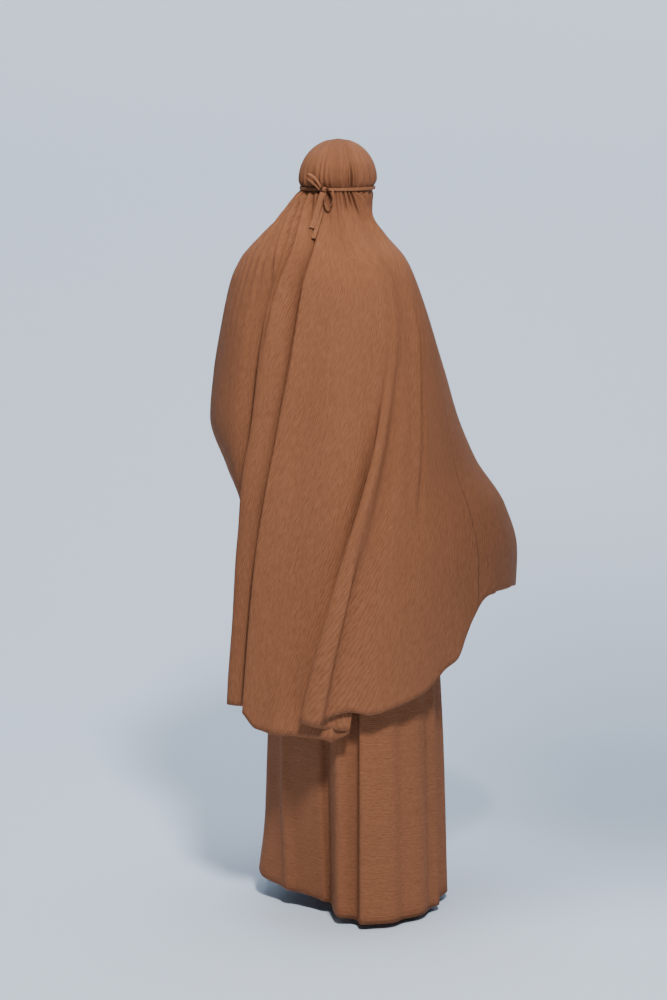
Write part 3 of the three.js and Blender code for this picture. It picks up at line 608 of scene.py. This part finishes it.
class Nodes:
    """A short way to build a material's node tree."""

    def __init__(self, name):
        self.material = bpy.data.materials.new(name)
        self.material.use_nodes = True
        self.tree = self.material.node_tree
        self.shader = self.tree.nodes["Principled BSDF"]

    def add(self, kind, inputs=(), **settings):
        node = self.tree.nodes.new(kind)
        for key, value in settings.items():
            setattr(node, key, value)
        for key, value in dict(inputs).items():
            if isinstance(value, bpy.types.NodeSocket):
                self.tree.links.new(value, node.inputs[key])
            else:
                node.inputs[key].default_value = value
        return node

    def math(self, operation, a, b=0.0, c=0.0):
        return self.add("ShaderNodeMath", {0: a, 1: b, 2: c}, operation=operation).outputs[0]

    def noise(self, vector, scale, detail, distortion=0.0):
        inputs = {"Vector": vector, "Scale": scale, "Detail": detail, "Distortion": distortion}
        inputs["Roughness"] = 0.5
        return self.add("ShaderNodeTexNoise", inputs).outputs["Fac"]

    def spread(self, value, low, high, to_low=0.0, to_high=1.0):
        inputs = {"Value": value, "From Min": low, "From Max": high, "To Min": to_low, "To Max": to_high}
        return self.add("ShaderNodeMapRange", inputs).outputs["Result"]

    def blend(self, factor, a, b, kind="MIX"):
        node = self.add("ShaderNodeMix", data_type="RGBA", blend_type=kind)
        for socket, value in ((node.inputs[0], factor), (node.inputs[6], a), (node.inputs[7], b)):
            if isinstance(value, bpy.types.NodeSocket):
                self.tree.links.new(value, socket)
            else:
                socket.default_value = value
        return node.outputs[2]

    def shaded(self, colour, amount):
        """A colour multiplied by a number at each point."""
        grey = self.add("ShaderNodeCombineColor", {0: amount, 1: amount, 2: amount}).outputs[0]
        return self.blend(1.0, colour, grey, "MULTIPLY")


BROWN = rgb(141, 90, 61)
# Painted shade for the crinkles' valleys, and the darker tone of the stitches and the turned hem
BROWN_SHADE_AND_SEAMS = rgb(122, 75, 49)
# Painted light for the crinkles' tops, and the painted highlight along the hems' edges
BROWN_PAINTED_LIGHT = rgb(156, 101, 70)
BROWN_SHEEN = rgb(200, 150, 118)
BROWN_RIBBON = rgb(152, 99, 69)

# Crinkles: the wrinkles' size across and along the cloth, then the small pleats' waviness, the direction of
# the cloth that they are counted in and their pitch, with sizes in metres
VEIL_CRINKLE = {"across": 0.0034, "along": 0.017, "wavy": 1.3, "counted": 0, "pitch": 0.0036}
SKIRT_CRINKLE = {"across": 0.0085, "along": 0.0036, "wavy": 1.6, "counted": 1, "pitch": 0.0042}
BAND_CRINKLE = {"across": 0.004, "along": 0.02, "wavy": 0.8, "counted": 0, "pitch": 0.004}
RIBBON_CRINKLE = {"across": 0.003, "along": 0.006, "wavy": 0.8, "counted": 0, "pitch": 0.0034}
THREAD = (0.0009, 0.0012)

# What makes up the crinkle's height, as shares
PLEAT_SHARE = 0.3
WRINKLE_SHARE = 0.45
FINE_SHARE = 0.25
THREAD_SHARE = 0.1

# The turned hems, their stitches and the painted highlight along their edges, in metres or as a share of the
# hem's width
VEIL_HEM_WIDE = 0.011
SKIRT_HEM_WIDE = 0.016
HEM_HIGHLIGHT_WIDE = 0.002
STITCH_PITCH = 0.0028
STITCH_PLACE = 0.86
STITCH_HALF = 0.05
STITCH_GAP = 0.3

# How far apart cloth may be and still get painted shade in a crease, and the bump's height, in metres
CREASE_SHADE_REACH = 0.03
BUMP_HEIGHT = 0.0016


def hem_look(n, cloth, height, hem_wide):
    """Adds a turned hem to a colour and a height: a raised fold, its stitches and a painted highlight along
    its edge.
    """
    edge = n.add("ShaderNodeSeparateXYZ", {0: n.add("ShaderNodeUVMap", uv_map="edge").outputs["UV"]})
    above = n.math("DIVIDE", edge.outputs[1], hem_wide)
    fold = n.math("LESS_THAN", above, 1.0)
    from_line = n.math("ABSOLUTE", n.math("SUBTRACT", above, STITCH_PLACE))
    on_line = n.math("LESS_THAN", from_line, STITCH_HALF)
    dash = n.math("FRACT", n.math("DIVIDE", edge.outputs[0], STITCH_PITCH))
    stitch = n.math("MULTIPLY", on_line, n.math("GREATER_THAN", dash, STITCH_GAP))
    cloth = n.blend(n.math("MULTIPLY", stitch, 0.4), cloth, BROWN_SHADE_AND_SEAMS)
    cloth = n.blend(n.math("MULTIPLY", fold, 0.12), cloth, BROWN_SHADE_AND_SEAMS)
    # Painted highlight: a lighter line along the hem's edge
    edge_highlight = n.math("LESS_THAN", edge.outputs[1], HEM_HIGHLIGHT_WIDE)
    cloth = n.blend(n.math("MULTIPLY", edge_highlight, 0.6), cloth, BROWN_PAINTED_LIGHT)
    raised = n.math("MULTIPLY_ADD", fold, 0.7, height)
    return cloth, n.math("SUBTRACT", raised, n.math("MULTIPLY", stitch, 0.8))


def crepe(name, colour, crinkle, tilt=0.0, hem_wide=None):
    """Crinkled crepe: wrinkles, small wavy pleats and threads, with painted shade in creases and crinkle
    valleys, painted light on crinkle tops and, if asked, a hem.
    """
    n = Nodes(name)
    uv = n.add("ShaderNodeUVMap", uv_map="cloth").outputs["UV"]
    turned = n.add("ShaderNodeMapping", {"Vector": uv, "Rotation": (0, 0, tilt)}).outputs["Vector"]
    across = crinkle["across"]
    along = crinkle["along"]

    def grain(wide, long, detail, distortion, shift=0.0):
        inputs = {"Vector": turned, "Location": (shift, shift, 0), "Scale": (1 / wide, 1 / long, 1)}
        scaled = n.add("ShaderNodeMapping", inputs).outputs["Vector"]
        return n.noise(scaled, 1.0, detail, distortion)

    slow = n.math("SUBTRACT", grain(across * 6, along, 2.0, 0.3), 0.5)
    bend = n.math("MULTIPLY", slow, crinkle["wavy"])
    flat = n.add("ShaderNodeSeparateXYZ", {0: turned})
    run = n.math("MULTIPLY_ADD", flat.outputs[crinkle["counted"]], 1 / crinkle["pitch"], bend)
    wave = n.math("SINE", n.math("MULTIPLY", run, 2 * math.pi))
    pleats = n.math("MULTIPLY_ADD", wave, 0.5, 0.5)
    wrinkle = n.spread(grain(across, along, 2.0, 0.5), 0.3, 0.7)
    fine = grain(across * 0.4, along * 0.25, 2.0, 0.4, 3.0)
    thread = grain(*THREAD, 1.0, 0.0)
    small = n.math("MULTIPLY_ADD", wrinkle, WRINKLE_SHARE, n.math("MULTIPLY", fine, FINE_SHARE))
    ridge = n.math("MULTIPLY_ADD", pleats, PLEAT_SHARE, small)
    height = n.math("MULTIPLY_ADD", thread, THREAD_SHARE, ridge)

    # Painted shade and light: the colour darkens in the crinkles' valleys and lightens on their tops,
    # following their height
    cloth = n.blend(n.spread(ridge, 0.15, 0.8), BROWN_SHADE_AND_SEAMS, BROWN_PAINTED_LIGHT)
    cloth = n.blend(0.35, cloth, colour)
    patch = n.noise(n.add("ShaderNodeTexCoord").outputs["Object"], 3.2, 2.0)
    cloth = n.shaded(cloth, n.spread(patch, 0.3, 0.7, 0.97, 1.03))
    # Painted shade: the colour darkens in creases and where cloth lies close to other cloth
    crease_shade = n.add("ShaderNodeAmbientOcclusion", {"Distance": CREASE_SHADE_REACH}, samples=8).outputs["AO"]
    cloth = n.shaded(cloth, n.spread(crease_shade, 0.35, 0.95, 0.5, 1.0))
    if hem_wide:
        cloth, height = hem_look(n, cloth, height, hem_wide)

    bump = n.add("ShaderNodeBump", {"Height": height, "Strength": 0.8, "Distance": BUMP_HEIGHT})
    n.tree.links.new(cloth, n.shader.inputs["Base Color"])
    n.tree.links.new(bump.outputs["Normal"], n.shader.inputs["Normal"])
    n.tree.links.new(n.spread(fine, 0.3, 0.7, 0.8, 0.92), n.shader.inputs["Roughness"])
    n.shader.inputs["Specular IOR Level"].default_value = 0.2
    n.shader.inputs["Sheen Weight"].default_value = 0.03
    n.shader.inputs["Sheen Roughness"].default_value = 0.4
    n.shader.inputs["Sheen Tint"].default_value = BROWN_SHEEN
    return n.material


veil_cloth = crepe("veil crepe", BROWN, VEIL_CRINKLE, 0.16, VEIL_HEM_WIDE)
skirt_cloth = crepe("skirt crepe", BROWN, SKIRT_CRINKLE, 0.06, SKIRT_HEM_WIDE)
band_cloth = crepe("waistband crepe", BROWN, BAND_CRINKLE)
ribbon_cloth = crepe("ribbon crepe", BROWN_RIBBON, RIBBON_CRINKLE, 0.6)

# The veil, with rows of cells closer at the tie and columns closer at the folds
veil_rows = steps_through(
    [(0, 4), (28, 6), (88, 3), (96, 1.8), (130, 2.6), (200, 5), (320, 9), (420, 11.5), (VEIL_LOWEST, 1)]
)
split_at = int(np.argmin(abs(veil_rows - SPLIT_DEPTH)))
veil_rows[split_at] = SPLIT_DEPTH
back_ats = steps_through(
    [
        (-SEAM, 1.1), (-72, 0.55), (-44, 0.42), (-20, 0.72), (2, 0.6), (12, 0.85), (22, 0.42), (36, 0.8),
        (SEAM, 1),
    ]
)
forehead_ats = steps_through([(SEAM + 2, 2.6), (360 - SEAM - 2, 1)])
front_ats = steps_through([(SEAM, 0.9), (360 - SEAM, 1)])
back_cells = len(back_ats) - 1

veil_back = wall(
    "veil_back_cloth",
    veil_point,
    np.concatenate([back_ats, forehead_ats]),
    veil_rows,
    True,
    lambda i, j: i < split_at or j < back_cells,
    veil_cloth,
)
veil_front = wall(
    "veil_front_cloth", veil_point, front_ats, veil_rows[split_at:], False, whole, veil_cloth
)
cut_face_opening(veil_back)
cut_face_opening(veil_front)

# The skirt
skirt_rows = steps_through([(SKIRT_TOP, 5), (760, 12), (SKIRT_LOWEST, 1)])


def skirt_panel(name, low, high):
    ats = steps_through([(low, 0.85), (high, 1)])
    return wall(name, skirt_point, ats, skirt_rows, False, whole, skirt_cloth)


skirt_back = skirt_panel("skirt_back_cloth", -92, 92)
skirt_front = skirt_panel("skirt_front_cloth", 92, 268)


def band_point(at, row):
    """A point of the waistband, puckered round the waist and sewn into channels."""
    pucker = 0.9 * np.cos(np.radians(WAIST_GATHERS * at))
    pucker = pucker + 0.5 * np.cos(np.radians(1.5 * WAIST_GATHERS * at))
    channel = 0.5 * np.cos(2 * math.pi * (row - WAIST) / (WAISTBAND / BAND_CHANNELS))
    radius = section_radius(SKIRT_SECTIONS, at, row) + BAND_OUT + pucker * 0.6 - channel
    return polar(at, radius, 0, row, SKIRT_CENTRE)


waistband = wall(
    "waistband_cloth",
    band_point,
    np.arange(0, 360, 1.2),
    np.linspace(WAIST, WAIST + WAISTBAND - 1.2, 19),
    True,
    whole,
    band_cloth,
    thickness=BAND_THICK,
)

# The tie and its bow
UP = np.array([0.0, 0.0, 1.0])


def tie_strip(name, start, end):
    """A strip that lies in the groove that it draws into the cloth."""
    angles = np.linspace(start, end, 60)
    radius = veil_radius(angles, TIE_DEPTH) - TIE_SUNK + RIBBON / 2 + TIE_CLEAR
    return ribbon(name, polar(angles, radius, 0, TIE_DEPTH), UP, TIE_TALL, ribbon_cloth, count=150)


tie_right = tie_strip("tie_right_ribbon", TIE_END, KNOT_ANGLE + KNOT_HALF_ANGLE)
tie_left = tie_strip("tie_left_ribbon", -TIE_END, KNOT_ANGLE - KNOT_HALF_ANGLE)

knot_turn = math.radians(KNOT_ANGLE)
TO_RIGHT = np.array([-math.cos(knot_turn), -math.sin(knot_turn), 0.0])
OUTWARDS = np.array([-math.sin(knot_turn), math.cos(knot_turn), 0.0])
knot_centre = polar(KNOT_ANGLE, float(veil_radius(KNOT_ANGLE, TIE_DEPTH)) + KNOT_OUT, 0, TIE_DEPTH)


def bow_points(rows):
    return [knot_centre + TO_RIGHT * t + UP * u + OUTWARDS * out for t, u, out in rows]


# Points along each loop, from the knot's centre: to the right, up and outwards
LEFT_LOOP = [
    [-6.4, 4.6, 2.2], [-11.5, 15, 6], [-21, 27, 9], [-31, 32, 10], [-35, 28, 10], [-30, 21, 9], [-20, 12, 7],
    [-8.4, 1.4, 2.6],
]
RIGHT_LOOP = [
    [6.3, 1.6, 1.6], [15, 3, 7], [22, -4, 11], [24, -17, 15], [21, -29, 17], [13, -34, 18], [6.5, -28, 17],
    [5.4, -17, 14], [5.6, -6.2, 5],
]
LOOP_WIDE = 7.0
LOOP_TILT = 0.45

left_across = OUTWARDS - LOOP_TILT * (TO_RIGHT + UP)
loop_left = ribbon("bow_loop_left_ribbon", bow_points(LEFT_LOOP), left_across, LOOP_WIDE, ribbon_cloth)
loop_right = ribbon("bow_loop_right_ribbon", bow_points(RIGHT_LOOP), OUTWARDS, LOOP_WIDE, ribbon_cloth)

# Points along each free end: to the right of the knot, below the tie, and off the unfolded cloth
LEFT_TAIL = [
    [-1.5, 5.4, 6.2], [-4.6, 19, 9.5], [-7.4, 32, 9.5], [-11.2, 49, 7.5], [-14.2, 64, 6], [-18, 78, 5],
]
RIGHT_TAIL = [
    [-0.8, 6.7, 3.2], [-1.5, 21, 6.2], [-2.1, 42, 6], [-5, 62, 5.2], [-8.6, 82, 4.5], [-12.5, 99, 4],
]


def tail(name, rows, width):
    points = []
    for t, drop, lift in rows:
        down = TIE_DEPTH + drop
        angle = KNOT_ANGLE + math.degrees(t / float(veil_radius(KNOT_ANGLE, down)))
        points.append(polar(angle, float(veil_radius(angle, down)) + lift, 0, down))
    return ribbon(name, points, TO_RIGHT, width, ribbon_cloth, curl=TAIL_CURL)


tail_left = tail("bow_tail_left_ribbon", LEFT_TAIL, RIBBON_WIDE)
tail_right = tail("bow_tail_right_ribbon", RIGHT_TAIL, RIGHT_TAIL_WIDE)

# Half the knot's size in each direction, and a round figure of it for its cloth
KNOT_WIDE = 5.8
KNOT_DEEP = 4.9
KNOT_TALL = 6.0
KNOT_POLE = 6.1
KNOT_CLOTH = 0.006


def knot_mesh():
    """A wrapped knot: a rounded lump with a raised band over its middle and creases beside it."""
    rings = 30
    sides = 44
    points = []
    pairs = []
    for i in range(1, rings):
        polar_turn = math.pi * i / rings
        for j in range(sides):
            turn = 2 * math.pi * j / sides
            t = math.sin(polar_turn) * math.cos(turn)
            n = math.sin(polar_turn) * math.sin(turn)
            u = math.cos(polar_turn)
            lean = t - 0.45 * u
            band = 0.07 * math.exp(-((lean / 0.34) ** 4))
            groove = 0.09 * math.exp(-(((abs(lean) - 0.46) / 0.1) ** 2))
            crease = 0.05 * math.cos(7 * u + 2 * t) * math.exp(-((lean / 0.5) ** 2))
            size = (1 + band - groove) * (1 - crease)
            lump = TO_RIGHT * t * KNOT_WIDE + OUTWARDS * n * KNOT_DEEP + UP * u * KNOT_TALL
            points.append(knot_centre + size * lump)
            pairs.append([t * KNOT_CLOTH, u * KNOT_CLOTH])
    top = len(points)
    bottom = top + 1
    points += [knot_centre + UP * KNOT_POLE, knot_centre - UP * KNOT_POLE]
    pairs += [[0, KNOT_CLOTH], [0, -KNOT_CLOTH]]
    faces = []
    for i in range(rings - 2):
        for j in range(sides):
            a, b = i * sides + j, i * sides + (j + 1) % sides
            faces.append([a, b, b + sides, a + sides])
    last = (rings - 2) * sides
    for j in range(sides):
        k = (j + 1) % sides
        faces.append([top, k, j])
        faces.append([bottom, last + j, last + k])
    return new_object("bow_knot_ribbon", points, faces, {"cloth": pairs, "edge": pairs}, ribbon_cloth)


knot = knot_mesh()

# What each piece stands for
PIECES = [
    (veil_back, "veil_back", "crepe"),
    (veil_front, "veil_front", "crepe"),
    (skirt_back, "skirt_back", "crepe"),
    (skirt_front, "skirt_front", "crepe"),
    (waistband, "waistband", "waistband"),
    (tie_left, "tie_left", "ribbon"),
    (tie_right, "tie_right", "ribbon"),
    (knot, "bow_knot", "ribbon"),
    (loop_left, "bow_loop_left", "ribbon"),
    (loop_right, "bow_loop_right", "ribbon"),
    (tail_left, "bow_tail_left", "ribbon"),
    (tail_right, "bow_tail_right", "ribbon"),
]
for piece, node, slot in PIECES:
    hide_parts(node)
    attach(piece, "root")

# The camera stands behind the wearer, turned towards the right, a little above the head
YAW = math.radians(27)
PITCH = math.radians(10.3)
DISTANCE = 5040.0
HEIGHT = 140.0
LENS = 85.0
SENSOR = 36
TO_CAMERA = np.array([-math.sin(YAW), math.cos(YAW), 0.0])
PICTURE_RIGHT = np.array([-math.cos(YAW), -math.sin(YAW), 0.0])

# The column of pixels that the gown's axis stands on, the picture's middle one and the picture's height
AXIS_PIXEL = 338
MIDDLE_PIXEL = 333.5
PICTURE_TALL = 1000
PAN = math.atan((AXIS_PIXEL - MIDDLE_PIXEL) / (LENS / SENSOR * PICTURE_TALL))

# The studio: a pale floor that turns up into the wall behind
FLOOR_NEAR = -5600.0
FLOOR_FAR = 1400
WALL_BEND = 1500.0
WALL_TALL = 5200.0
STUDIO_HALF = 6500


def studio():
    bend_steps = 24
    profile = [(FLOOR_NEAR, 0.0), (FLOOR_FAR, 0.0)]
    for n in range(1, bend_steps + 1):
        turn = math.radians(90 * n / bend_steps)
        profile.append((FLOOR_FAR + WALL_BEND * math.sin(turn), WALL_BEND * (1 - math.cos(turn))))
    profile.append((FLOOR_FAR + WALL_BEND, WALL_TALL))
    points = []
    for far, high in profile:
        for side in (-STUDIO_HALF, STUDIO_HALF):
            points.append(-TO_CAMERA * far + PICTURE_RIGHT * side + np.array([0, 0, high - FLOOR]))
    faces = [[2 * n, 2 * n + 1, 2 * n + 3, 2 * n + 2] for n in range(len(profile) - 1)]
    n = Nodes("pale studio")
    grain = n.noise(n.add("ShaderNodeTexCoord").outputs["Object"], 1.3, 3.0)
    tone = n.blend(grain, rgb(220, 233, 250), rgb(223, 236, 253))
    n.tree.links.new(tone, n.shader.inputs["Base Color"])
    n.shader.inputs["Roughness"].default_value = 0.9
    n.shader.inputs["Specular IOR Level"].default_value = 0.1
    return new_object("studio_floor", points, faces, {}, n.material)


studio()

# The camera
to_camera = Vector(TO_CAMERA)
picture_right = Vector(PICTURE_RIGHT)
ahead = -to_camera * math.cos(PAN) - picture_right * math.sin(PAN)
right = picture_right * math.cos(PAN) - to_camera * math.sin(PAN)
look = ahead * math.cos(PITCH) + Vector((0, 0, -math.sin(PITCH)))
up = right.cross(look)
camera_data = bpy.data.cameras.new("camera")
camera_data.lens = LENS
camera_data.sensor_width = SENSOR
camera = bpy.data.objects.new("camera", camera_data)
bpy.context.scene.collection.objects.link(camera)
camera.matrix_world = Matrix((right, up, -look)).transposed().to_4x4()
camera.location = (to_camera * DISTANCE + Vector((0, 0, HEIGHT))) * MM
bpy.context.scene.camera = camera


def area_light(name, beside, towards, high, size, power, aim=(0, 0, -0.75), colour=(1, 1, 1)):
    """A soft light, placed beside the view's axis, towards the camera and above the crown, all in metres."""
    light = bpy.data.lights.new(name, "AREA")
    light.shape = "DISK"
    light.size = size
    light.energy = power
    light.color = colour
    obj = bpy.data.objects.new(name, light)
    bpy.context.scene.collection.objects.link(obj)
    obj.location = picture_right * beside + to_camera * towards + Vector((0, 0, high))
    target = picture_right * aim[0] + to_camera * aim[1] + Vector((0, 0, aim[2]))
    obj.rotation_mode = "QUATERNION"
    obj.rotation_quaternion = (target - obj.location).to_track_quat("-Z", "Y")


WARM = (1.0, 0.99, 0.975)
COOL = (0.92, 0.965, 1.0)
FLOOR_SPOT = (0, -0.3, -1.6)
area_light("key", beside=0.66, towards=3.4, high=3.2, size=0.75, power=318, colour=WARM)
area_light("top", beside=0, towards=-0.3, high=3.3, size=2.2, power=100, aim=FLOOR_SPOT, colour=COOL)
for name, way in (("backdrop left", -1), ("backdrop right", 1)):
    spot = (1.9 * way, -2.9, -0.2)
    area_light(name, beside=2.3 * way, towards=-1.1, high=1.4, size=1.8, power=18, aim=spot)


def flag(beside, towards, high):
    """A black panel above the view, which keeps some of the key light off the gown's right side."""
    corners = ((beside[0], high[0]), (beside[1], high[0]), (beside[1], high[1]), (beside[0], high[1]))
    points = []
    for side, top in corners:
        points.append((picture_right * side + to_camera * towards + Vector((0, 0, top))) / MM)
    n = Nodes("black panel")
    n.shader.inputs["Base Color"].default_value = rgb(12, 12, 12)
    n.shader.inputs["Roughness"].default_value = 1.0
    return new_object("light_flag", points, [[0, 1, 2, 3]], {}, n.material, smooth=False)


flag((0.46, 1.1), 1.6, (0.75, 1.6))

# The room's own faint light
world = bpy.data.worlds.new("studio air")
bpy.context.scene.world = world
world.use_nodes = True
world.node_tree.nodes["Background"].inputs["Color"].default_value = rgb(222, 228, 238)
world.node_tree.nodes["Background"].inputs["Strength"].default_value = 0.08
